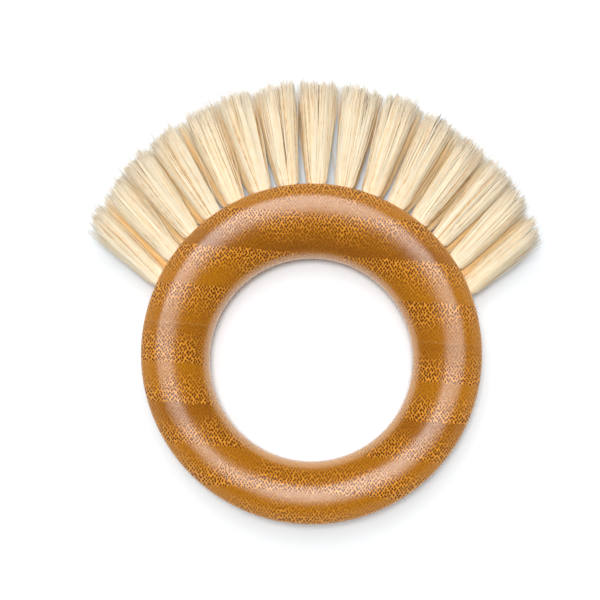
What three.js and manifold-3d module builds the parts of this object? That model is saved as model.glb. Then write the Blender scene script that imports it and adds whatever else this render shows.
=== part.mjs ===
// Vegetable brush: a bamboo ring handle with two rows of bristle tufts in its rim.
// Millimetres, +Z up. The brush lies flat, with the ring's axis upright and the bristles toward +Y.
// Each tuft is a bundle folded over a flat wire anchor and pressed into a blind hole of the ring.

import * as THREE from 'three';
import { mergeVertices } from 'three/addons/utils/BufferGeometryUtils.js';
import Module from 'manifold-3d';

const wasm = await Module();
wasm.setup();

// Ring handle
const ringDiameter = 85;
const fingerHoleDiameter = 51;
const fingerHoleOffset = 1.5; // the finger hole sits this far off the ring's middle, away from the bristles
const ringHeight = 18;
const crownInset = 6.4; // from the rim in to the middle of the flat land that the brush lies on
const crownRadius = 7; // of the arch from the land down to the rim
const rimCornerRadius = 1; // where that arch meets the upright wall that the tufts go into
const landWidth = 2;
const ringSteps = 64;
const cornerSteps = 2;
const crownSteps = 4;
const throatSteps = 6;

// Rows of tufts, angles in degrees from +Y toward +X
const upperRow = { name: 'upper', count: 15, pitch: 9.33, side: 1 };
const lowerRow = { name: 'lower', count: 13, pitch: 9.9, side: -1 };
const rowHeight = 2.6; // from the ring's middle plane to a row's hole centres
const endLean = 18.5; // how far the upper row's end tufts lean back to the fan's middle

// Tuft holes and the packed roots in them
const holeDiameter = 4.4;
const holeDepth = 9;
const drillPointDepth = 1.2;
const rootClearance = 0.12;
const rootStandOut = 0.8; // how far the packed root shows above the rim
const roundSides = 12;

// Strands of a tuft
const strandsPerTuft = 16;
const strandSides = 3;
const strandRootRadius = 0.4;
const strandTipRadius = 0.7;
const strandSink = 0.5; // how deep a strand's root is fused into the packed root
const tipRowHeight = 4.2; // from the ring's middle plane to the middle of a row's tips
const tipGap = 0.6; // between neighbouring tufts of a row at the trim line
const tipRowGap = 0.5; // between the two rows at the trim line
const tipFaceClearance = 0.9; // how far the tips stay inside the ring's faces, so that the ring takes the weight
const tuftLength = 24.75; // from the rim to the trim arc at the fan's middle
const trimOffset = 6.75; // from the ring's middle to the trim arc's centre, toward the bristles
const trimRaggedness = 1.2;

// Wire anchors
const anchorBite = 0.6; // how far each end of an anchor goes into the wood
const anchorThickness = 0.45;
const anchorHeight = 1.8;
const anchorFloor = 2.2; // from the hole's full depth up to the anchor, where the fold passes
const anchorTurn = 45; // across the grain, so that a row of anchors doesn't split the wood
const anchorClearance = 0.1;

const rad = THREE.MathUtils.degToRad;
const goldenTurn = Math.PI * (3 - Math.sqrt(5));
const goldenShare = (Math.sqrt(5) - 1) / 2;
const rimRadius = ringDiameter / 2;
const rootRadius = holeDiameter / 2 - rootClearance;
const trimRadius = rimRadius + tuftLength - trimOffset;
const upperReach = ((upperRow.count - 1) / 2) * upperRow.pitch;

const bamboo = new THREE.MeshStandardMaterial({ color: 0xb87a3c, roughness: 0.4, metalness: 0 });
const bristle = new THREE.MeshStandardMaterial({ color: 0xecd9b4, roughness: 0.75, metalness: 0 });
const steel = new THREE.MeshStandardMaterial({ color: 0xb9bcc0, roughness: 0.35, metalness: 1 });

// A three.js geometry as a solid that can be joined and cut
function solidOf(geometry) {
  const bare = geometry.clone();
  bare.deleteAttribute('normal');
  bare.deleteAttribute('uv');
  const merged = mergeVertices(bare, 1e-4);
  const vertProperties = new Float32Array(merged.attributes.position.array);
  const triVerts = new Uint32Array(merged.index.array);
  return new wasm.Manifold(new wasm.Mesh({ numProp: 3, vertProperties, triVerts }));
}

// A joined or cut solid as a three.js geometry
function geometryOf(solid) {
  const mesh = solid.getMesh();
  const geometry = new THREE.BufferGeometry();
  geometry.setAttribute('position', new THREE.BufferAttribute(mesh.vertProperties, 3));
  geometry.setIndex(new THREE.BufferAttribute(mesh.triVerts, 1));
  geometry.computeVertexNormals();
  return geometry;
}

// A skin lofted through sections of equal point counts. A closed loft joins its last section to its first,
// and an open one gets flat end caps.
function loft(sections, closed) {
  const count = sections[0].length;
  const spans = closed ? sections.length : sections.length - 1;
  const triangles = [];
  for (let i = 0; i < spans; i += 1) {
    const near = i * count;
    const far = ((i + 1) % sections.length) * count;
    for (let j = 0; j < count; j += 1) {
      const next = (j + 1) % count;
      triangles.push(near + j, near + next, far + next);
      triangles.push(near + j, far + next, far + j);
    }
  }
  if (!closed) {
    const last = (sections.length - 1) * count;
    for (let j = 1; j < count - 1; j += 1) {
      triangles.push(0, j + 1, j);
      triangles.push(last, last + j, last + j + 1);
    }
  }
  const geometry = new THREE.BufferGeometry().setFromPoints(sections.flat());
  geometry.setIndex(triangles);
  return geometry;
}

// The ring's section as points of radius and height: upright rim wall with a rounded corner, arched crown,
// flat land and round throat
function ringSection(throatRadius) {
  const top = ringHeight / 2;
  const quarter = Math.PI / 2;
  const landOuter = rimRadius - crownInset + landWidth / 2;
  const landInner = landOuter - landWidth;
  const cornerMiddle = rimRadius - rimCornerRadius;
  const archRadius = crownRadius - rimCornerRadius;
  const tilt = Math.asin((cornerMiddle - landOuter) / archRadius);
  const cornerHeight = top - crownRadius + archRadius * Math.cos(tilt);
  const corner = new THREE.EllipseCurve(
    cornerMiddle, cornerHeight, rimCornerRadius, rimCornerRadius, 0, quarter - tilt,
  );
  const crown = new THREE.EllipseCurve(
    landOuter, top - crownRadius, crownRadius, crownRadius, quarter - tilt, quarter,
  );
  const throat = new THREE.EllipseCurve(landInner, 0, landInner - throatRadius, top, quarter, Math.PI);
  const upper = [
    ...corner.getPoints(cornerSteps),
    ...crown.getPoints(crownSteps).slice(1),
    ...throat.getPoints(throatSteps),
  ];
  const lower = upper.slice(0, -1).reverse();
  return [...upper, ...lower.map((point) => new THREE.Vector2(point.x, -point.y))];
}

// The finger hole is off centre, so the section grows from the grip to the bristle side
function ringBlank() {
  const holeRadius = fingerHoleDiameter / 2;
  const sections = [];
  for (let i = 0; i < ringSteps; i += 1) {
    const angle = (i / ringSteps) * 2 * Math.PI;
    const direction = new THREE.Vector2(Math.sin(angle), Math.cos(angle));
    const across = fingerHoleOffset * direction.x;
    const throatRadius = Math.sqrt(holeRadius ** 2 - across ** 2) - fingerHoleOffset * direction.y;
    const section = ringSection(throatRadius);
    sections.push(section.map((point) =>
      new THREE.Vector3(point.x * direction.x, point.x * direction.y, point.y)));
  }
  return loft(sections, true);
}

// Where a tuft's axis leaves the rim
function mouthOf(row, rimAngle) {
  const angle = rad(rimAngle);
  return new THREE.Vector3(rimRadius * Math.sin(angle), rimRadius * Math.cos(angle), row.side * rowHeight);
}

// The way a tuft's axis points: straight out at the fan's middle, leaning back toward it at the ends
function axisOf(rimAngle) {
  const lean = endLean * (rimAngle / upperReach) ** 3;
  const angle = rad(rimAngle - lean);
  return new THREE.Vector3(Math.sin(angle), Math.cos(angle), 0);
}

// The level direction across a tuft
function acrossOf(rimAngle) {
  const axis = axisOf(rimAngle);
  return new THREE.Vector3(-axis.y, axis.x, 0);
}

// A tuft's own frame: origin where it leaves the rim, X across it, Y upright and Z along its axis
function tuftFrame(row, rimAngle) {
  const upright = new THREE.Vector3(0, 0, 1);
  const frame = new THREE.Matrix4().makeBasis(acrossOf(rimAngle), upright, axisOf(rimAngle));
  return frame.setPosition(mouthOf(row, rimAngle));
}

// How many of its own steps a line takes to the trim arc, seen from above
function stepsToTrim(start, step) {
  const fromCentre = new THREE.Vector2(start.x, start.y - trimOffset);
  const levelStep = new THREE.Vector2(step.x, step.y);
  const a = levelStep.lengthSq();
  const b = fromCentre.dot(levelStep);
  const c = fromCentre.lengthSq() - trimRadius ** 2;
  return (Math.sqrt(b * b - a * c) - b) / a;
}

// How far a tuft's axis runs from the rim to the trim arc
function freeLength(row, rimAngle) {
  return stepsToTrim(mouthOf(row, rimAngle), axisOf(rimAngle));
}

// Half of a tuft's width at the trim line, from the spacing of its neighbours there
function tipHalfWidth(row, rimAngle) {
  const tips = [rimAngle - row.pitch / 2, rimAngle + row.pitch / 2].map((angle) =>
    mouthOf(row, angle).addScaledVector(axisOf(angle), freeLength(row, angle)));
  const spacing = Math.abs(tips[1].sub(tips[0]).dot(acrossOf(rimAngle)));
  return (spacing - tipGap) / 2;
}

// Half of a tuft's height at the trim line, clear of the other row and of the ring's faces
function tipHalfHeight() {
  return Math.min(tipRowHeight - tipRowGap / 2, ringHeight / 2 - tipFaceClearance - tipRowHeight);
}

// A turned plug along Z with a drill point at its inner end
function drilledPlug(radius, innerEnd, outerEnd) {
  const profile = [
    new THREE.Vector2(0, innerEnd - drillPointDepth),
    new THREE.Vector2(radius, innerEnd),
    new THREE.Vector2(radius, outerEnd),
    new THREE.Vector2(0, outerEnd),
  ];
  return new THREE.LatheGeometry(profile, roundSides).rotateX(Math.PI / 2);
}

// The anchor's bar, or the slit around it when given a clearance
function anchorBar(clearance) {
  const bar = new THREE.BoxGeometry(
    holeDiameter + 2 * anchorBite + 2 * clearance,
    anchorThickness + 2 * clearance,
    anchorHeight + 2 * clearance,
  );
  return bar.rotateZ(rad(anchorTurn)).translate(0, 0, anchorFloor + anchorHeight / 2 - holeDepth);
}

// One end of a strand: a small polygon about a point, turned by its own angle
function strandEnd(point, radius, turn) {
  const corners = [];
  for (let i = 0; i < strandSides; i += 1) {
    const angle = turn + (i / strandSides) * 2 * Math.PI;
    const corner = new THREE.Vector3(radius * Math.cos(angle), radius * Math.sin(angle), 0);
    corners.push(corner.add(point));
  }
  return corners;
}

// One strand of a tuft, from the packed root to the trim arc. Roots and tips follow the same sunflower
// pattern, so the strands spread without crossing. The left tufts mirror the right ones.
function strand(row, rimAngle, frame, index) {
  const ring = Math.sqrt((index + 0.5) / strandsPerTuft);
  const turn = rimAngle < 0 ? Math.PI - index * goldenTurn : index * goldenTurn;
  const x = ring * Math.cos(turn);
  const y = ring * Math.sin(turn);
  const rootSpread = rootRadius - strandRootRadius;
  const root = new THREE.Vector3(x * rootSpread, y * rootSpread, rootStandOut - strandSink);
  const tipAcross = x * (tipHalfWidth(row, rimAngle) - strandTipRadius);
  const tipUpright = y * (tipHalfHeight() - strandTipRadius) + row.side * (tipRowHeight - rowHeight);
  const step = new THREE.Vector3(tipAcross, tipUpright, freeLength(row, rimAngle)).sub(root);
  const start = root.clone().applyMatrix4(frame);
  const placedStep = step.clone().transformDirection(frame).multiplyScalar(step.length());
  const ragged = trimRaggedness * ((index * goldenShare) % 1);
  const steps = stepsToTrim(start, placedStep) - ragged / step.length();
  const tip = root.clone().addScaledVector(step, steps);
  return loft([strandEnd(root, strandRootRadius, turn), strandEnd(tip, strandTipRadius, turn)], false);
}

// A tuft: its packed root, slotted where the anchor crosses the fold, with the strands fused to it
function tuft(row, rimAngle, frame) {
  let solid = solidOf(drilledPlug(rootRadius, rootClearance - holeDepth, rootStandOut));
  solid = solid.subtract(solidOf(anchorBar(anchorClearance)));
  for (let i = 0; i < strandsPerTuft; i += 1) {
    solid = solid.add(solidOf(strand(row, rimAngle, frame, i)));
  }
  return geometryOf(solid);
}

const brush = new THREE.Group();
const body = new THREE.Group();
body.position.z = ringHeight / 2;
brush.add(body);

// A named piece of the brush, placed by a frame
function place(name, geometry, material, frame) {
  const mesh = new THREE.Mesh(geometry, material);
  mesh.name = name;
  frame.decompose(mesh.position, mesh.quaternion, mesh.scale);
  body.add(mesh);
}

let handle = solidOf(ringBlank());
for (const row of [upperRow, lowerRow]) {
  for (let i = 0; i < row.count; i += 1) {
    const rimAngle = (i - (row.count - 1) / 2) * row.pitch;
    const frame = tuftFrame(row, rimAngle);
    const label = `${row.name}_${String(i + 1).padStart(2, '0')}`;
    // The drill starts a hole's width outside the rim
    const hole = drilledPlug(holeDiameter / 2, -holeDepth, holeDiameter).applyMatrix4(frame);
    const slit = anchorBar(anchorClearance).applyMatrix4(frame);
    handle = handle.subtract(solidOf(hole)).subtract(solidOf(slit));
    place(`tuft_${label}`, tuft(row, rimAngle, frame), bristle, frame);
    place(`anchor_${label}`, anchorBar(0), steel, frame);
  }
}
place('ring_handle', geometryOf(handle), bamboo, new THREE.Matrix4());

// The origin is the middle of the brush's footprint
const box = new THREE.Box3().setFromObject(brush, true);
const middle = box.getCenter(new THREE.Vector3());
body.position.x -= middle.x;
body.position.y -= middle.y;

export default brush;
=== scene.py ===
import math

import bpy
import numpy as np
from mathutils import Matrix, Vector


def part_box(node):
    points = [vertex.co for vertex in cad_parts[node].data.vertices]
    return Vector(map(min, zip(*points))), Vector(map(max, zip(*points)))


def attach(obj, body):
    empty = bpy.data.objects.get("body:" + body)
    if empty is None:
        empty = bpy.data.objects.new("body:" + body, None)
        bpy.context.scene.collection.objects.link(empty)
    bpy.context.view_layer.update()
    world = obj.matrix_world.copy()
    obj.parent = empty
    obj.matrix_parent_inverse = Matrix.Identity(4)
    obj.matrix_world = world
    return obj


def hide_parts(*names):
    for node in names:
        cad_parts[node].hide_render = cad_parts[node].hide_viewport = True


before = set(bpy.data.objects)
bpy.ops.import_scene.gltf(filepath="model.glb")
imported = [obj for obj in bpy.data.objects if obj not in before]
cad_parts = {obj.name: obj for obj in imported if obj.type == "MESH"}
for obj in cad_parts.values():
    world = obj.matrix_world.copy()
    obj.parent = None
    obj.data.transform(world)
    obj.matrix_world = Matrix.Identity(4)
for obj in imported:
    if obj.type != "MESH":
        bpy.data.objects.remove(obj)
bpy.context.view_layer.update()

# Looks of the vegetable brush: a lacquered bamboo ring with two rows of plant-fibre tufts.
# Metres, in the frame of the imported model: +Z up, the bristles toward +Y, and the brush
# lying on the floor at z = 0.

MM = 0.001

# Ring handle
RING_LOW, RING_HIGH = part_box("ring_handle")
RING_CENTRE = (RING_LOW + RING_HIGH) / 2
RIM_RADIUS = (RING_HIGH.x - RING_LOW.x) / 2
RING_HEIGHT = RING_HIGH.z - RING_LOW.z
FINGER_HOLE_RADIUS = 25.4 * MM
FINGER_HOLE_OFFSET = 1.65 * MM  # from the ring's middle toward the grip
SUMMIT_INSET = 5.7 * MM  # from the rim to the highest line of the section
CROWN_POWER = 1.5  # how the crown steepens from the summit to the rim's corner
THROAT_POWER = 2.2  # 2 makes the inner side an ellipse, more is fuller
RIM_CORNER_RADIUS = 1 * MM
CORNER_TILT = math.radians(47)  # of the crown where it meets the corner
SHARP_ANGLE = math.radians(35)  # edges sharper than this aren't smoothed
RING_STEPS = 360
CORNER_STEPS = 6
CROWN_STEPS = 16
THROAT_STEPS = 30
WALL_STEPS = 8

# Tuft holes
HOLE_RADIUS = 2.2 * MM
HOLE_DEPTH = 9 * MM
HOLE_CHAMFER = 0.3 * MM
DRILL_POINT = 1.2 * MM
CUTTER_LIP = 0.2 * MM  # how far the chamfer's cutter goes on outside the rim
CUTTER_REACH = 3 * MM
HOLE_SIDES = 28

# Rows of tufts, angles in degrees from +Y toward +X
ROWS = (
    {"name": "upper", "count": 15, "pitch": 9.33, "side": 1, "tip_gap": 1.4 * MM},
    {"name": "lower", "count": 13, "pitch": 9.9, "side": -1, "tip_gap": 0.2 * MM},
)
UPPER_REACH = (ROWS[0]["count"] - 1) / 2 * ROWS[0]["pitch"]
END_LEAN = 18.5  # how far the outermost upper tufts lean back toward +Y
LEAN_POWER = 3
ROW_HEIGHT = 2.6 * MM  # of the holes, above or below the ring's middle plane
TIP_ROW_HEIGHT = 4.2 * MM  # of the middles of the tufts' tips
TIP_HALF_HEIGHT = 3.9 * MM
INNER_FULLNESS = 1.5  # the two rows mix toward their tips
TUFT_LENGTH = 24.75 * MM
TRIM_OFFSET = 6.75 * MM  # from the ring's middle to the trim arc's, toward +Y
TRIM_RADIUS = RIM_RADIUS + TUFT_LENGTH - TRIM_OFFSET

# Fibres of a tuft: each is folded in half under the anchor, so it shows twice
FIBRES_PER_TUFT = 200
FIBRE_SIDES = 4
FIBRE_ROOT_RADIUS = 0.105 * MM
FIBRE_TIP_RADIUS = 0.03 * MM
FIBRE_THICKNESS = (0.8, 1.2)  # times these radii, from fibre to fibre
TAPER_START = 0.66  # share of the free length
ROOT_RADIUS = 2.12 * MM  # of the bundle in its hole
ROOT_SPREAD = ROOT_RADIUS - FIBRE_ROOT_RADIUS
ROOT_PACKING = 0.38  # 0.5 packs the roots evenly, less puts more of them at the wall
ROOT_JITTER = 0.05  # share of the bundle's radius
GOLDEN_SHARE = 0.6180339887
NECK_DEPTH = 1 * MM  # from here to the mouth a fibre runs straight along the hole
ANCHOR_TURN = math.radians(45)
ANCHOR_BAR = np.array((math.cos(ANCHOR_TURN), math.sin(ANCHOR_TURN)))
ANCHOR_SIDE = np.array((-ANCHOR_BAR[1], ANCHOR_BAR[0]))
ANCHOR_BOTTOM = -6.8 * MM
ANCHOR_TOP = -5.0 * MM
FOLD_CLEAR = 0.42 * MM  # from the anchor's middle to the nearest fibre
FOLD_WIDTH = 0.95  # share of the root's spread that is used along the anchor
FOLD_STEPS = (0.25, 0.5, 0.75)
FREE_STEPS = (0.02, 0.06, 0.14, 0.28, 0.46, 0.64, 0.78, 0.9, 1.0)
HALF_ALONG = np.array((0.0,) * 4 + FREE_STEPS)  # the first four points are in the hole
FIBRE_ALONG = np.concatenate((HALF_ALONG[::-1], np.zeros(len(FOLD_STEPS)), HALF_ALONG))
SPLAY = 0.45 * MM  # how far the bundle opens as it leaves its hole
SPLAY_REACH = 0.015  # share of the free length

# How tufts, clumps and fibres differ
SEED = 20
SEED_STEP = 100  # from tuft to tuft
TIP_WIDTHS = (0.93, 1.1)  # times a tuft's share of the trim arc
SWAY = 0.4 * MM
TUFT_LENGTH_SPREAD = 0.3 * MM
CLUMPS = 16
CLUMP_LENGTH_SPREAD = 0.35 * MM
CLUMP_TONE_SPREAD = 0.1
CLUMP_PULL = (0.1, 0.55)  # how far a tip is drawn to its clump's middle
TIP_JITTER = 0.05  # share of the bundle's radius
TIP_LIMIT = 1.02  # in the bundle's half heights
STRAY_SHARE = 0.08
STRAY_REACH = (1.0, 1.45)
STRAY_BOW = 2.5
END_FAN = 1.1  # how far single fibres of a row's end tufts lean out
END_FAN_POWER = 3
RAGGED = 2.1 * MM  # how far the fibres stop short of the longest ones
TRIM_EXTRA = 0.95 * MM
HAIR_SHARE = 0.13  # of the fibres, which missed the trimming
HAIR_LENGTH = (0.2, 2.0)  # mm past the others
BOW = 0.22 * MM
BOW_WAVE = 0.85  # share of a half wave over the free length
TONE_MEAN, TONE_SPREAD = 0.62, 0.2
TONE_JITTER = 0.06
DARK_SHARE, DARK_DEPTH = 0.06, 0.5
# Painted shade: the fibres that face the other row are given tan, for the shade and warm light
# between the rows
PAINTED_SHADE_BIAS = 0.3  # how far past its middle a tuft counts as facing the other row

# How the fibres take the light
BUNDLE_SHADING = 0.8  # how far as one bundle, as fine translucent ones do
SHELL_GAIN, SHELL_OFFSET = 2, 0.9  # that holds from 0.45 of its radius, in full from 0.95
LIFT = 0.75  # how far the sides of a bundle take the light from above
END_START = 0.76  # share of the free length
END_SHADING = 0.65  # how far the ends take the light from ahead
TINY = 1e-9

scene = bpy.context.scene


def profile(throat_radius):
    """Section of the ring, from the rim wall's top round to the wall again.

    The points are a radius and a height above the middle plane.
    """
    top = RING_HEIGHT / 2
    summit = RIM_RADIUS - SUMMIT_INSET
    corner_middle = RIM_RADIUS - RIM_CORNER_RADIUS
    crown_end = corner_middle + RIM_CORNER_RADIUS * math.sin(CORNER_TILT)
    step = (crown_end - summit) / CROWN_STEPS
    crown = [(summit, top)]
    for i in range(CROWN_STEPS):
        share = (i + 0.5) / CROWN_STEPS
        tilt = math.asin(math.sin(CORNER_TILT) * share ** CROWN_POWER)
        crown.append((summit + step * (i + 1), crown[-1][1] - step * math.tan(tilt)))
    corner_height = crown[-1][1] - RIM_CORNER_RADIUS * math.cos(CORNER_TILT)
    upper = []
    for i in range(CORNER_STEPS):
        tilt = math.pi / 2 - (math.pi / 2 - CORNER_TILT) * i / CORNER_STEPS
        upper.append((
            corner_middle + RIM_CORNER_RADIUS * math.sin(tilt),
            corner_height + RIM_CORNER_RADIUS * math.cos(tilt),
        ))
    upper.extend(reversed(crown))
    for i in range(1, THROAT_STEPS + 1):
        turn = math.pi / 2 * i / THROAT_STEPS
        inward = math.sin(turn) ** (2 / THROAT_POWER)
        height = max(math.cos(turn), 0.0) ** (2 / THROAT_POWER)
        upper.append((summit - (summit - throat_radius) * inward, top * height))
    lower = [(r, -z) for r, z in reversed(upper[:-1])]
    wall_top, wall_bottom = upper[0][1], -upper[0][1]
    wall = []
    for i in range(1, WALL_STEPS):
        wall.append((RIM_RADIUS, wall_bottom + (wall_top - wall_bottom) * i / WALL_STEPS))
    return upper + lower + wall


def mesh_object(name, points, faces, smooth=True):
    mesh = bpy.data.meshes.new(name)
    mesh.from_pydata(points, [], faces)
    mesh.update()
    if smooth:
        mesh.polygons.foreach_set("use_smooth", [True] * len(mesh.polygons))
    piece = bpy.data.objects.new(name, mesh)
    scene.collection.objects.link(piece)
    return piece


def ring_blank():
    points = []
    for i in range(RING_STEPS):
        angle = 2 * math.pi * i / RING_STEPS
        sine, cosine = math.sin(angle), math.cos(angle)
        across = FINGER_HOLE_OFFSET * sine
        throat = math.sqrt(FINGER_HOLE_RADIUS ** 2 - across ** 2) - FINGER_HOLE_OFFSET * cosine
        for r, z in profile(throat):
            points.append((
                RING_CENTRE.x + r * sine, RING_CENTRE.y + r * cosine, RING_CENTRE.z + z))
    count = len(points) // RING_STEPS
    faces = []
    for i in range(RING_STEPS):
        near, far = i * count, (i + 1) % RING_STEPS * count
        for j in range(count):
            k = (j + 1) % count
            faces.append((near + j, near + k, far + k, far + j))
    return mesh_object("ring_handle_bamboo", points, faces)


def axis_of(rim_angle):
    lean = END_LEAN * (rim_angle / UPPER_REACH) ** LEAN_POWER
    angle = math.radians(rim_angle - lean)
    return np.array((math.sin(angle), math.cos(angle), 0.0))


def mouth_of(row, rim_angle):
    angle = math.radians(rim_angle)
    return np.array((
        RING_CENTRE.x + RIM_RADIUS * math.sin(angle),
        RING_CENTRE.y + RIM_RADIUS * math.cos(angle),
        RING_CENTRE.z + row["side"] * ROW_HEIGHT,
    ))


def tuft_frame(row, rim_angle):
    """Where a tuft leaves the rim, and its own axes as rows: across, upright and along."""
    axis = axis_of(rim_angle)
    across = np.array((-axis[1], axis[0], 0.0))
    return mouth_of(row, rim_angle), np.array((across, (0.0, 0.0, 1.0), axis))


def steps_to_trim(start, step):
    """How many of its own steps each line takes to the trim arc, seen from above."""
    from_centre = start[..., :2] - np.array((RING_CENTRE.x, RING_CENTRE.y + TRIM_OFFSET))
    level = step[..., :2]
    a = (level ** 2).sum(-1)
    b = (from_centre * level).sum(-1)
    c = (from_centre ** 2).sum(-1) - TRIM_RADIUS ** 2
    return (np.sqrt(b * b - a * c) - b) / a


def tip_half_width(row, rim_angle):
    """Half of a tuft's share of the trim arc, less the gap to its neighbours."""
    tips = []
    for angle in (rim_angle - row["pitch"] / 2, rim_angle + row["pitch"] / 2):
        mouth, axis = mouth_of(row, angle), axis_of(angle)
        tips.append(mouth + axis * steps_to_trim(mouth, axis))
    across = tuft_frame(row, rim_angle)[1][0]
    return (abs((tips[1] - tips[0]) @ across) - row["tip_gap"]) / 2


def rim_angles(row):
    return [(i - (row["count"] - 1) / 2) * row["pitch"] for i in range(row["count"])]


def drills():
    """Every tuft hole as one cutter, widened at its mouth."""
    lip_radius = HOLE_RADIUS + HOLE_CHAMFER + CUTTER_LIP
    section = (
        (HOLE_RADIUS, -HOLE_DEPTH),
        (HOLE_RADIUS, -HOLE_CHAMFER),
        (lip_radius, CUTTER_LIP),
        (lip_radius, CUTTER_REACH),
    )
    points, faces = [], []
    for row in ROWS:
        for rim_angle in rim_angles(row):
            origin, (across, upright, along) = tuft_frame(row, rim_angle)
            tip = len(points)
            points.append(origin + along * (-HOLE_DEPTH - DRILL_POINT))
            for radius, height in section:
                for k in range(HOLE_SIDES):
                    turn = 2 * math.pi * k / HOLE_SIDES
                    points.append(
                        origin + across * radius * math.cos(turn)
                        + upright * radius * math.sin(turn) + along * height)
            lid = len(points)
            points.append(origin + along * CUTTER_REACH)
            lowest, highest = tip + 1, lid - HOLE_SIDES
            for k in range(HOLE_SIDES):
                n = (k + 1) % HOLE_SIDES
                faces.append((tip, lowest + n, lowest + k))
                for low in range(lowest, highest, HOLE_SIDES):
                    high = low + HOLE_SIDES
                    faces.append((low + k, low + n, high + n, high + k))
                faces.append((highest + k, highest + n, lid))
    return mesh_object("drills", points, faces, smooth=False)


def drilled_ring():
    ring = ring_blank()
    cutter = drills()
    cut = ring.modifiers.new("holes", "BOOLEAN")
    cut.operation = "DIFFERENCE"
    cut.solver = "EXACT"
    cut.object = cutter
    depsgraph = bpy.context.evaluated_depsgraph_get()
    mesh = bpy.data.meshes.new_from_object(ring.evaluated_get(depsgraph))
    ring.modifiers.clear()
    ring.data = mesh
    bpy.data.objects.remove(cutter)
    mesh.polygons.foreach_set("use_smooth", [True] * len(mesh.polygons))
    mesh.set_sharp_from_angle(angle=SHARP_ANGLE)
    return ring


def unit(vectors, tiny=0.0):
    return vectors / (np.linalg.norm(vectors, axis=-1, keepdims=True) + tiny)


def folds(start, end):
    """Half circles down from the start points, under the anchor and up to the end points."""
    middle, arm = (start + end) / 2, (start - end) / 2
    radius = np.linalg.norm(arm, axis=1)
    points = []
    for t in FOLD_STEPS:
        point = middle + arm * math.cos(math.pi * t)
        point[:, 2] -= radius * math.sin(math.pi * t)
        points.append(point)
    return np.stack(points, 1)


def along_fibres(first, second):
    """The values of the fibres' two halves, for every point of their paths."""
    return np.concatenate((
        np.repeat(first[:, None], len(HALF_ALONG), 1),
        np.repeat(((first + second) / 2)[:, None], len(FOLD_STEPS), 1),
        np.repeat(second[:, None], len(HALF_ALONG), 1),
    ), 1)


def fibre_faces():
    """Faces of a tuft's fibres, each a tube that is closed at both ends."""
    per_fibre = len(FIBRE_ALONG) * FIBRE_SIDES
    tube = []
    for low in range(0, per_fibre - FIBRE_SIDES, FIBRE_SIDES):
        high = low + FIBRE_SIDES
        for k in range(FIBRE_SIDES):
            n = (k + 1) % FIBRE_SIDES
            tube.append((low + k, low + n, high + n, high + k))
    tube.append(tuple(reversed(range(FIBRE_SIDES))))
    tube.append(tuple(range(per_fibre - FIBRE_SIDES, per_fibre)))
    faces = []
    for i in range(FIBRES_PER_TUFT):
        faces.extend(tuple(i * per_fibre + v for v in face) for face in tube)
    return faces


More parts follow.
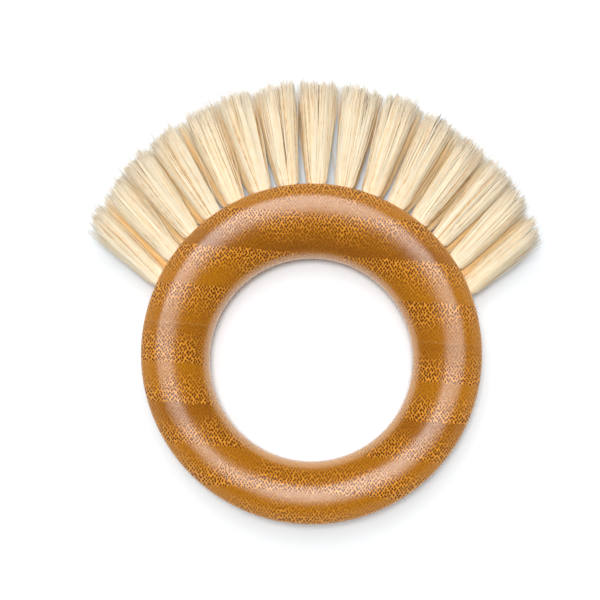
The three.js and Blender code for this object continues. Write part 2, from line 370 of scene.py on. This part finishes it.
class Tuft:
    """A tuft of folded fibres, each one tube from tip to tip through the fold.

    Points are in the tuft's own axes until the mesh is made.
    """

    def __init__(self, row, number, rim_angle):
        self.name = f"tuft_{row['name']}_{number:02d}"
        self.side = row["side"]
        self.origin, self.axes = tuft_frame(row, rim_angle)
        self.rise = row["side"] * (TIP_ROW_HEIGHT - ROW_HEIGHT)
        self.reach = steps_to_trim(self.origin, self.axes[2])
        at_end = number in (1, row["count"])
        self.outer_side = -math.copysign(1, rim_angle) if at_end else 0

        # Roots in the half of the hole on one side of the anchor, mirrored for the other
        self.rng = rng = np.random.default_rng(SEED + SEED_STEP * number + (row["side"] > 0))
        order = np.arange(FIBRES_PER_TUFT)
        radius = ((order + 0.5) / FIBRES_PER_TUFT) ** ROOT_PACKING
        turn = math.pi * ((order * GOLDEN_SHARE + rng.uniform(0, 1)) % 1.0)
        self.along_bar, self.off_bar = radius * np.cos(turn), radius * np.sin(turn)

        # The tuft's own shape, and its clumps of fibres
        self.half_width = tip_half_width(row, rim_angle) * rng.uniform(*TIP_WIDTHS)
        self.sway = rng.normal(0, SWAY)
        spread = np.sqrt(rng.uniform(0, 1, CLUMPS))
        turn = rng.uniform(0, 2 * math.pi, CLUMPS)
        self.clumps = np.stack((spread * np.cos(turn), spread * np.sin(turn)), 1)
        self.clump_length = rng.normal(0, CLUMP_LENGTH_SPREAD, CLUMPS)
        self.clump_tone = rng.normal(0, CLUMP_TONE_SPREAD, CLUMPS)
        self.longer = rng.normal(0, TUFT_LENGTH_SPREAD)
        self.tone = rng.normal(TONE_MEAN, TONE_SPREAD, FIBRES_PER_TUFT)

    def half(self, sign):
        """Each fibre's half on one side of the anchor: its points, tone and painted shade toward
        the other row.
        """
        rng, n = self.rng, FIBRES_PER_TUFT

        # Where it stands in the bundle at the root and at the tip, as shares of its radius
        jitter = rng.normal(0, ROOT_JITTER, (n, 2))
        place = np.outer(self.along_bar, ANCHOR_BAR)
        place = place + np.outer(sign * self.off_bar, ANCHOR_SIDE) + jitter
        size = np.linalg.norm(place, axis=1, keepdims=True)
        place = np.where(size > 1, place / size, place)
        near = np.linalg.norm(place[:, None] - self.clumps[None], axis=2).argmin(1)
        pull = rng.uniform(*CLUMP_PULL, (n, 1))
        tip_place = place * (1 - pull) + self.clumps[near] * pull
        tip_place += rng.normal(0, TIP_JITTER, (n, 2))
        stray = rng.uniform(0, 1, n) < STRAY_SHARE
        tip_place[stray] *= rng.uniform(*STRAY_REACH, (int(stray.sum()), 1))
        if self.outer_side:
            outer = np.clip(self.outer_side * tip_place[:, 0], 0, 1)
            tip_place[:, 0] *= 1 + outer * rng.uniform(0, 1, n) ** END_FAN_POWER * END_FAN

        # From the hole's mouth to about the trim arc
        root = np.concatenate((place * ROOT_SPREAD, np.zeros((n, 1))), 1)
        upright = np.clip(tip_place[:, 1], -TIP_LIMIT, TIP_LIMIT) * TIP_HALF_HEIGHT
        upright *= np.where(upright * self.side < 0, INNER_FULLNESS, 1)
        tip = np.stack((
            tip_place[:, 0] * self.half_width + self.sway,
            upright + self.rise,
            np.full(n, self.reach),
        ), 1)
        step = tip - root
        share = steps_to_trim(self.origin + root @ self.axes, step @ self.axes)
        extra = -np.abs(rng.normal(0, RAGGED, n))
        extra = extra + self.clump_length[near] + self.longer + TRIM_EXTRA
        hair = rng.uniform(0, 1, n) < HAIR_SHARE
        extra += np.where(hair, rng.uniform(*HAIR_LENGTH, n) * MM, 0)
        share += extra / np.linalg.norm(step, axis=1)
        step = step * share[:, None]
        bow = rng.normal(0, BOW, (n, 2))
        bow[stray] *= STRAY_BOW

        # Beside the anchor, at the mouth and along the free length
        off = sign * (FOLD_CLEAR + self.off_bar * (ROOT_SPREAD - FOLD_CLEAR))
        deep = self.along_bar[:, None] * ANCHOR_BAR * ROOT_SPREAD * FOLD_WIDTH
        deep = deep + off[:, None] * ANCHOR_SIDE
        points = []
        for level in (ANCHOR_BOTTOM, ANCHOR_TOP):
            points.append(np.concatenate((deep, np.full((n, 1), level)), 1))
        points.append(root - np.array((0, 0, NECK_DEPTH)))
        points.append(root)
        for t in FREE_STEPS:
            point = root + step * t
            point[:, :2] += bow * math.sin(math.pi * t * BOW_WAVE)
            point[:, :2] += place * SPLAY * (1 - math.exp(-t / SPLAY_REACH)) * (1 - t)
            points.append(point)

        # Painted shade: how far a fibre faces the other row, which turns it tan
        painted_shade = np.clip(PAINTED_SHADE_BIAS - self.side * tip_place[:, 1], 0, 1)
        dark = np.where(rng.uniform(0, 1, n) < DARK_SHARE, DARK_DEPTH, 0)
        tone = self.tone + self.clump_tone[near] + rng.normal(0, TONE_JITTER, n) - dark
        return np.stack(points, 1), np.clip(tone, 0, 1), painted_shade

    def bundle_shading(self, path):
        """Where each point faces as part of the whole bundle, and how far that holds."""
        wide = ROOT_RADIUS + (self.half_width - ROOT_RADIUS) * FIBRE_ALONG
        tall = ROOT_RADIUS + (TIP_HALF_HEIGHT - ROOT_RADIUS) * FIBRE_ALONG
        over = (path[..., 0] - self.sway * FIBRE_ALONG) / wide
        up = (path[..., 1] - self.rise * FIBRE_ALONG) / tall
        outward = np.stack((
            over * np.abs(over) / wide, up * np.abs(up) / tall, np.zeros_like(over)), 2)
        outward = unit(unit(outward, TINY) + np.array((0.0, LIFT, 0.0)), TINY)
        end = END_SHADING * np.clip((FIBRE_ALONG - END_START) / (1 - END_START), 0, 1)[:, None]
        outward = outward * (1 - end) + np.array((0.0, 0.0, 1.0)) * end
        shell = np.clip(SHELL_GAIN * np.hypot(over, up) - SHELL_OFFSET, 0, 1)[..., None]
        return outward, BUNDLE_SHADING * np.maximum(shell, end ** 2)

    def build(self):
        n = FIBRES_PER_TUFT
        first, first_tone, first_painted_shade = self.half(1)
        second, second_tone, second_painted_shade = self.half(-1)
        fold = folds(first[:, 0], second[:, 0])
        path = np.concatenate((first[:, ::-1], fold, second), 1)

        # Tubes along the paths, thinner toward the tips
        tangent = unit(np.gradient(path, axis=1))
        side = unit(np.cross(np.append(ANCHOR_BAR, 0.0), tangent))
        other = np.cross(tangent, side)
        taper = np.clip((FIBRE_ALONG - TAPER_START) / (1 - TAPER_START), 0, 1)
        radius = FIBRE_ROOT_RADIUS + (FIBRE_TIP_RADIUS - FIBRE_ROOT_RADIUS) * taper
        thick = self.rng.uniform(*FIBRE_THICKNESS, (n, 1)) * radius
        roll = self.rng.uniform(0, 2 * math.pi, (n, 1, 1))
        outward, bundle = self.bundle_shading(path)
        rings, normals = [], []
        for k in range(FIBRE_SIDES):
            angle = roll + 2 * math.pi * k / FIBRE_SIDES
            around = np.cos(angle) * side + np.sin(angle) * other
            rings.append(path + thick[:, :, None] * around)
            normals.append(bundle * outward + (1 - bundle) * around)
        points = self.origin + np.stack(rings, 2).reshape(-1, 3) @ self.axes
        normals = unit(np.stack(normals, 2).reshape(-1, 3) @ self.axes)

        piece = mesh_object(f"{self.name}_fibres", points, fibre_faces())
        piece.data.normals_split_custom_set_from_vertices(normals)
        # The second attribute carries the painted shade where the rows face each other
        for label, values in (
            ("fibre_tone", along_fibres(first_tone, second_tone)),
            ("fibre_painted_shade", along_fibres(first_painted_shade, second_painted_shade)),
            ("fibre_along", np.repeat(FIBRE_ALONG[None], n, 0)),
        ):
            attribute = piece.data.attributes.new(label, "FLOAT", "POINT")
            values = np.repeat(values.reshape(-1), FIBRE_SIDES).astype(np.float32)
            attribute.data.foreach_set("value", values)
        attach(piece, "root")
        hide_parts(self.name)
        return piece


# Materials. Lengths are in millimetres here, apart from the depths of bumps. A ramp's numbers are
# the lowest and highest value that go in, and what comes out for them. Waves are a noise's scale
# along x, y and z.
PER_METRE = 1000.0  # millimetres
NOISE_LOW, NOISE_HIGH = 0.3, 0.7
NOISE_MIDDLE = (0.5, 0.5, 0.5)


class Shader:
    """A material's node tree, with short calls for the nodes used here."""

    def __init__(self, name):
        self.material = bpy.data.materials.new(name)
        self.material.use_nodes = True
        self.tree = self.material.node_tree
        self.tree.nodes.clear()

    def node(self, kind, inputs=(), **settings):
        node = self.tree.nodes.new(kind)
        for key, value in settings.items():
            setattr(node, key, value)
        for key, value in dict(inputs).items():
            if isinstance(value, bpy.types.NodeSocket):
                self.tree.links.new(value, node.inputs[key])
            else:
                node.inputs[key].default_value = value
        return node

    def math(self, operation, a, b=0.0, c=0.0):
        return self.node("ShaderNodeMath", {0: a, 1: b, 2: c}, operation=operation).outputs[0]

    def vector(self, operation, a, b=(0, 0, 0)):
        node = self.node("ShaderNodeVectorMath", {0: a, 1: b}, operation=operation)
        return node.outputs["Value" if operation in ("DOT_PRODUCT", "LENGTH") else "Vector"]

    def scale(self, vector, amount):
        inputs = {0: vector, "Scale": amount}
        return self.node("ShaderNodeVectorMath", inputs, operation="SCALE").outputs[0]

    def coordinates(self, kind):
        return self.node("ShaderNodeTexCoord").outputs[kind]

    def position(self):
        return self.scale(self.coordinates("Object"), PER_METRE)

    def attribute(self, name):
        return self.node("ShaderNodeAttribute", attribute_name=name).outputs["Fac"]

    def ramp(self, value, low, high, to_low=0.0, to_high=1.0):
        return self.node("ShaderNodeMapRange", {
            "Value": value, "From Min": low, "From Max": high,
            "To Min": to_low, "To Max": to_high,
        }, interpolation_type="SMOOTHSTEP").outputs["Result"]

    def noise(self, position, waves, detail, output="Fac"):
        return self.node("ShaderNodeTexNoise", {
            "Vector": self.vector("MULTIPLY", position, waves), "Scale": 1.0, "Detail": detail,
        }).outputs[output]

    def swing(self, noise, low, high):
        """A noise's usual range, spread from low to high."""
        return self.ramp(noise, NOISE_LOW, NOISE_HIGH, low, high)

    def mix(self, factor, a, b, blend="MIX"):
        inputs = {0: factor, 6: a, 7: b}
        node = self.node("ShaderNodeMix", inputs, data_type="RGBA", blend_type=blend)
        return node.outputs[2]

    def colours(self, value, stops):
        node = self.node("ShaderNodeValToRGB", {"Fac": value})
        elements = node.color_ramp.elements
        elements[0].position, elements[0].color = stops[0][0], (*stops[0][1], 1)
        elements[1].position, elements[1].color = stops[-1][0], (*stops[-1][1], 1)
        for position, colour in stops[1:-1]:
            elements.new(position).color = (*colour, 1)
        return node.outputs["Color"]

    def bump(self, height, strength, distance):
        return self.node("ShaderNodeBump", {
            "Height": height, "Strength": strength, "Distance": distance}).outputs[0]

    def finish(self, surface):
        output = self.node("ShaderNodeOutputMaterial")
        self.tree.links.new(surface.outputs[0], output.inputs["Surface"])
        return self.material


# Bamboo: lamellae glued face to face with their fibres upright, so the top shows end grain
LAMELLA = 9.9
LAMELLA_TILT = math.radians(-2.65)
LAMELLA_SLANT = -0.05  # how far the glue lines lean from the upright
FLIP_POINT = (0.0, -7.55, 9.0)  # on the glue line where the lamellae turn about
GLUE_WAVES, GLUE_WAVER = (1.1, 1.1, 0.05), 0.2
GLUE_SHARE, GLUE_STRENGTH = 0.014, 0.3
TONE_STEP, TONE_START = 2.4, -6.37  # from one lamella's tone to the next, as angles
CROWD_WAVES, CROWD_DRIFT = (0.12, 0.12, 0.02), 0.18
CROWD_TO_NET = (0.05, 0.9, 0.08, 1.0)
DOT_NET = (0.58, 0.83)  # times the root of two: between dots of a row, and to the next row but one
DOT_TURN = math.radians(45)
DOT_RANDOMNESS = 0.45
DOT_WAVES, DOT_WOBBLE = (0.3, 0.3, 0.12), 0.9
CROWD_TO_DOT_RADIUS = (0.0, 1.0, 0.2, 0.275)  # in cells of the net
DOT_EDGE = 0.06
CROWD_TO_DOT_STRENGTH = (0.0, 0.85, 0.4, 1.0)
PALE_FROM_DOT = (0.3, 0.62)
FACING_TO_END_GRAIN = (0.4, 0.75, 0.35, 1.0)
# Steep faces: plain side grain, made lighter as painted bounce light from the floor
FACING_TO_SIDE_GRAIN_AND_PAINTED_BOUNCE = (0.3, 0.8, 0.8, 0.0)
RADIUS_TO_RUBBED = (38.5, 42.0, 0.0, 0.35)
GRAIN_WAVES, GRAIN_STRENGTH = (1.6, 1.6, 0.05), 0.4
AMBER_STOPS = (
    (0.0, (0.35, 0.113, 0.001)),
    (0.3, (0.465, 0.162, 0.001)),
    (1.0, (0.515, 0.188, 0.001)),
)
NET_DARK, NET_PALE = (0.415, 0.137, 0.001, 1), (0.92, 0.38, 0.04, 1)
GRAIN_TINT = (0.74, 0.68, 0.6, 1)
GLUE_COLOUR = (0.64, 0.36, 0.13, 1)
# Side grain colour, lighter than the wood as painted bounce light from the floor
SIDE_GRAIN_AND_PAINTED_BOUNCE_COLOUR = (0.88, 0.42, 0.08, 1)
RUBBED_COLOUR = (0.76, 0.38, 0.13, 1)
DOT_COLOUR = (0.085, 0.016, 0.001, 1)
LACQUER_WAVES, LACQUER_ROUGHNESS = (0.8, 0.8, 0.8), (0.2, 0.27)
LACQUER_IOR = 1.7
DOT_ROUGHNESS = 0.06
GRAIN_HEIGHT = 0.35  # of a dot's depth
BAMBOO_BUMP, BAMBOO_BUMP_DEPTH = 0.2, 0.06 * MM


def bamboo():
    s = Shader("bamboo_lacquered")
    position = s.position()
    facing = s.node("ShaderNodeSeparateXYZ", {0: s.coordinates("Normal")}).outputs["Z"]
    facing = s.math("ABSOLUTE", facing)
    endgrain = s.ramp(facing, *FACING_TO_END_GRAIN)

    # Lamellae, counted both ways from the glue line where they turn about
    normal = (-math.sin(LAMELLA_TILT), math.cos(LAMELLA_TILT), LAMELLA_SLANT)
    across = s.vector("DOT_PRODUCT", s.vector("SUBTRACT", position, FLIP_POINT), normal)
    waver = s.swing(s.noise(position, GLUE_WAVES, detail=0.0), -GLUE_WAVER, GLUE_WAVER)
    signed = s.math("DIVIDE", s.math("ADD", across, waver), LAMELLA)
    layer = s.math("ABSOLUTE", signed)
    depth = s.math("FRACT", layer)
    tone = s.math("MULTIPLY_ADD", s.math("FLOOR", signed), TONE_STEP, TONE_START)
    tone = s.math("MULTIPLY_ADD", s.math("SINE", tone), 0.5, 0.5)

    # Where the vessels crowd: from a lamella's smooth face to its crowded one, a little uneven
    drift = s.swing(s.noise(position, CROWD_WAVES, detail=2.0), -CROWD_DRIFT, CROWD_DRIFT)
    crowd = s.math("ADD", depth, drift)

    # Vessel ends: dark dots in staggered rows, in a pale net
    wobble = s.noise(position, DOT_WAVES, detail=1.0, output="Color")
    wobble = s.scale(s.vector("SUBTRACT", wobble, NOISE_MIDDLE), DOT_WOBBLE)
    net = s.node("ShaderNodeMapping", {
        "Vector": s.vector("ADD", position, wobble),
        "Rotation": (0, 0, DOT_TURN),
        "Scale": (1 / DOT_NET[0], 1 / DOT_NET[1], 1.0),
    }).outputs[0]
    from_dot = s.node("ShaderNodeTexVoronoi", {
        "Vector": net, "Scale": 1.0, "Randomness": DOT_RANDOMNESS,
    }, voronoi_dimensions="2D", feature="F1").outputs["Distance"]
    past_dot = s.math("SUBTRACT", from_dot, s.ramp(crowd, *CROWD_TO_DOT_RADIUS))
    dot = s.ramp(past_dot, -DOT_EDGE, DOT_EDGE, 1.0, 0.0)
    dot = s.math("MULTIPLY", dot, s.ramp(crowd, *CROWD_TO_DOT_STRENGTH))
    dot = s.math("MULTIPLY", dot, endgrain)
    pale = s.math("MULTIPLY", s.ramp(from_dot, *PALE_FROM_DOT), endgrain)

    # Ground between them, with grain along the fibres, glue, plain side grain made lighter as
    # painted bounce light from the floor, and a rubbed rim
    amber = s.colours(tone, AMBER_STOPS)
    ground = s.mix(s.ramp(crowd, *CROWD_TO_NET), amber, s.mix(pale, NET_DARK, NET_PALE))
    grain = s.noise(position, GRAIN_WAVES, detail=3.0)
    shade = s.mix(1.0, ground, GRAIN_TINT, "MULTIPLY")
    ground = s.mix(s.swing(grain, 0.0, GRAIN_STRENGTH), ground, shade)
    glue = s.math("MULTIPLY", s.math("LESS_THAN", layer, GLUE_SHARE), GLUE_STRENGTH)
    ground = s.mix(glue, ground, GLUE_COLOUR)
    ground = s.mix(s.ramp(facing, *FACING_TO_SIDE_GRAIN_AND_PAINTED_BOUNCE), ground, SIDE_GRAIN_AND_PAINTED_BOUNCE_COLOUR)
    from_axis = s.vector("SUBTRACT", position, (RING_CENTRE.x / MM, RING_CENTRE.y / MM, 0))
    radius = s.vector("LENGTH", s.vector("MULTIPLY", from_axis, (1, 1, 0)))
    rubbed = s.math("MULTIPLY", s.ramp(radius, *RADIUS_TO_RUBBED), endgrain)
    ground = s.mix(rubbed, ground, RUBBED_COLOUR)

    sheen = s.swing(s.noise(position, LACQUER_WAVES, detail=2.0), *LACQUER_ROUGHNESS)
    height = s.math("SUBTRACT", s.math("MULTIPLY", grain, GRAIN_HEIGHT), dot)
    return s.finish(s.node("ShaderNodeBsdfPrincipled", {
        "Base Color": s.mix(dot, ground, DOT_COLOUR),
        "Roughness": s.math("ADD", sheen, s.math("MULTIPLY", dot, DOT_ROUGHNESS)),
        "Normal": s.bump(height, BAMBOO_BUMP, BAMBOO_BUMP_DEPTH),
        "IOR": LACQUER_IOR,
    }))


# Bristle: cream fibres, bleached at the tips, with painted shade: tan where the two rows face each
# other, for the shade and warm bounce light between them
SPECK_WAVES, SPECK_TONE = (0.55, 0.55, 0.55), 0.1
CREAM_STOPS = (
    (0.0, (0.58, 0.33, 0.125)),
    (0.2, (0.94, 0.66, 0.37)),
    (0.45, (0.98, 0.795, 0.53)),
    (0.7, (0.98, 0.845, 0.61)),
    (1.0, (0.99, 0.895, 0.71)),
)
# Painted shade: the tan that stands for the shade and warm bounce light between the rows
PAINTED_SHADE_STOPS = (
    (0.0, (0.92, 0.46, 0.14)),
    (0.5, (0.99, 0.62, 0.26)),
    (1.0, (0.99, 0.73, 0.38)),
)
BLEACHED_COLOUR = (0.97, 0.88, 0.74, 1)
# Painted shade: how far it holds along a fibre
ALONG_TO_PAINTED_SHADE = (0.7, 1.0, 1.0, 0.3)
ALONG_TO_BLEACHED = (0.75, 1.0, 0.0, 0.5)
# Painted shade: how far it holds back the bleaching of the tips
PAINTED_SHADE_TO_BLEACHED = (0.0, 1.0, 1.0, 0.3)
BRISTLE_ROUGHNESS, BRISTLE_SPECULAR = 0.55, 0.3
BRISTLE_BUMP, BRISTLE_BUMP_DEPTH = 0.15, 0.03 * MM


def bristle():
    s = Shader("plant_fibre")
    painted_shade, along = s.attribute("fibre_painted_shade"), s.attribute("fibre_along")
    speck = s.noise(s.position(), SPECK_WAVES, detail=3.0)
    tone = s.math("ADD", s.attribute("fibre_tone"), s.swing(speck, -SPECK_TONE, SPECK_TONE))
    cream, tan = s.colours(tone, CREAM_STOPS), s.colours(tone, PAINTED_SHADE_STOPS)
    # Painted shade: tan where the rows face each other, for the shade and warm light between them
    colour = s.mix(s.math("MULTIPLY", painted_shade, s.ramp(along, *ALONG_TO_PAINTED_SHADE)), cream, tan)
    bleached = s.math(
        "MULTIPLY", s.ramp(along, *ALONG_TO_BLEACHED), s.ramp(painted_shade, *PAINTED_SHADE_TO_BLEACHED))
    return s.finish(s.node("ShaderNodeBsdfPrincipled", {
        "Base Color": s.mix(bleached, colour, BLEACHED_COLOUR),
        "Roughness": BRISTLE_ROUGHNESS,
        "Specular IOR Level": BRISTLE_SPECULAR,
        "Normal": s.bump(speck, BRISTLE_BUMP, BRISTLE_BUMP_DEPTH),
    }))


# Anchors: drawn steel wire
WIRE_WAVES = (2.0, 2.0, 14.0)
WIRE_STOPS = ((NOISE_LOW, (0.50, 0.51, 0.53)), (NOISE_HIGH, (0.72, 0.73, 0.75)))
WIRE_ROUGHNESS = (0.25, 0.45)
WIRE_BUMP, WIRE_BUMP_DEPTH = 0.2, 0.02 * MM


def wire():
    s = Shader("drawn_wire")
    lines = s.noise(s.position(), WIRE_WAVES, detail=3.0)
    return s.finish(s.node("ShaderNodeBsdfPrincipled", {
        "Base Color": s.colours(lines, WIRE_STOPS),
        "Metallic": 1.0,
        "Roughness": s.swing(lines, *WIRE_ROUGHNESS),
        "Normal": s.bump(lines, WIRE_BUMP, WIRE_BUMP_DEPTH),
    }))


# Floor
FLOOR_COLOUR = (0.88, 0.93, 0.97, 1)
FLOOR_LIFT = 0.07


def paper():
    """White floor, which keeps the shadow. What is seen of it is lifted a little to white."""
    s = Shader("white_floor")
    light = s.node("ShaderNodeLightPath")
    seen = s.math("MAXIMUM", light.outputs["Is Camera Ray"], light.outputs["Is Glossy Ray"])
    seen = s.math("MAXIMUM", seen, light.outputs["Is Transmission Ray"])
    diffuse = s.node("ShaderNodeBsdfDiffuse", {"Color": FLOOR_COLOUR})
    lift = s.node("ShaderNodeEmission", {
        "Color": (1, 1, 1, 1), "Strength": s.math("MULTIPLY", seen, FLOOR_LIFT)})
    return s.finish(s.node("ShaderNodeAddShader", {0: diffuse.outputs[0], 1: lift.outputs[0]}))


# The brush
bamboo_material = bamboo()
bristle_material = bristle()
wire_material = wire()

ring = drilled_ring()
ring.data.materials.clear()
ring.data.materials.append(bamboo_material)
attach(ring, "root")
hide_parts("ring_handle")

for row in ROWS:
    for number, rim_angle in enumerate(rim_angles(row), 1):
        piece = Tuft(row, number, rim_angle).build()
        piece.data.materials.append(bristle_material)
        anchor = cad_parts[f"anchor_{row['name']}_{number:02d}"]
        for slot in anchor.material_slots:
            slot.material = wire_material

# Floor and view
FLOOR_HALF = 12.0
floor = mesh_object("floor", [
    (-FLOOR_HALF, -FLOOR_HALF, 0), (FLOOR_HALF, -FLOOR_HALF, 0),
    (FLOOR_HALF, FLOOR_HALF, 0), (-FLOOR_HALF, FLOOR_HALF, 0)], [(0, 1, 2, 3)], smooth=False)
floor.data.materials.append(paper())
scene.view_settings.view_transform = "Standard"

# Weak light from all round the room, less of it from overhead
ROOM_LOW, ROOM_OVERHEAD = 0.12, 0.06
ROOM_LOW_END, ROOM_OVERHEAD_START = 0.5, 0.95  # sines of the height
world = bpy.data.worlds.new("studio")
scene.world = world
world.use_nodes = True
sky = world.node_tree.nodes
links = world.node_tree.links
direction = sky.new("ShaderNodeSeparateXYZ")
links.new(sky.new("ShaderNodeTexCoord").outputs["Generated"], direction.inputs[0])
room = sky.new("ShaderNodeMapRange")
room.interpolation_type = "SMOOTHSTEP"
for socket, value in (
    ("From Min", ROOM_LOW_END), ("From Max", ROOM_OVERHEAD_START),
    ("To Min", ROOM_LOW), ("To Max", ROOM_OVERHEAD),
):
    room.inputs[socket].default_value = value
links.new(direction.outputs["Z"], room.inputs["Value"])
links.new(room.outputs["Result"], sky["Background"].inputs["Strength"])
sky["Background"].inputs["Color"].default_value = (1.0, 1.0, 1.0, 1)

# One very large softbox, far enough off to light the floor evenly
LAMP_HEIGHT = 6.0
BOX_LEFT, BOX_RIGHT = -1.95, 1.1
BOX_NEAR, BOX_FAR = -0.25, 3.7
BOX_POWER = 205
box_data = bpy.data.lights.new("softbox", "AREA")
box_data.shape = "RECTANGLE"
box_data.size = BOX_RIGHT - BOX_LEFT
box_data.size_y = BOX_FAR - BOX_NEAR
box_data.energy = BOX_POWER
box = bpy.data.objects.new("softbox", box_data)
scene.collection.objects.link(box)
box.location = ((BOX_LEFT + BOX_RIGHT) / 2, (BOX_NEAR + BOX_FAR) / 2, LAMP_HEIGHT)

# A fill lamp nearly overhead, a little toward the softbox's side. It reaches down between the
# tufts and isn't mirrored in the lacquer.
FILL_SIZE = 0.9
FILL_POWER = 189
FILL_PLACE = (-0.22, 0.45)
fill_data = bpy.data.lights.new("overhead", "AREA")
fill_data.size = FILL_SIZE
fill_data.energy = FILL_POWER
overhead = bpy.data.objects.new("overhead", fill_data)
scene.collection.objects.link(overhead)
overhead.location = (*FILL_PLACE, LAMP_HEIGHT)
overhead.visible_glossy = False

# Camera, straight above
PHOTO_WIDTH = 150.5 * MM  # what the photo takes in, at the ring's middle height
PHOTO_CENTRE = (-3.27 * MM, 0.98 * MM)
PHOTO_ROLL = math.radians(1.7)
CAMERA_HEIGHT = 0.9
camera_data = bpy.data.cameras.new("camera")
camera_data.lens = camera_data.sensor_width * (CAMERA_HEIGHT - RING_CENTRE.z) / PHOTO_WIDTH
camera = bpy.data.objects.new("camera", camera_data)
scene.collection.objects.link(camera)
camera.location = (*PHOTO_CENTRE, CAMERA_HEIGHT)
camera.rotation_euler = (0, 0, PHOTO_ROLL)
scene.camera = camera
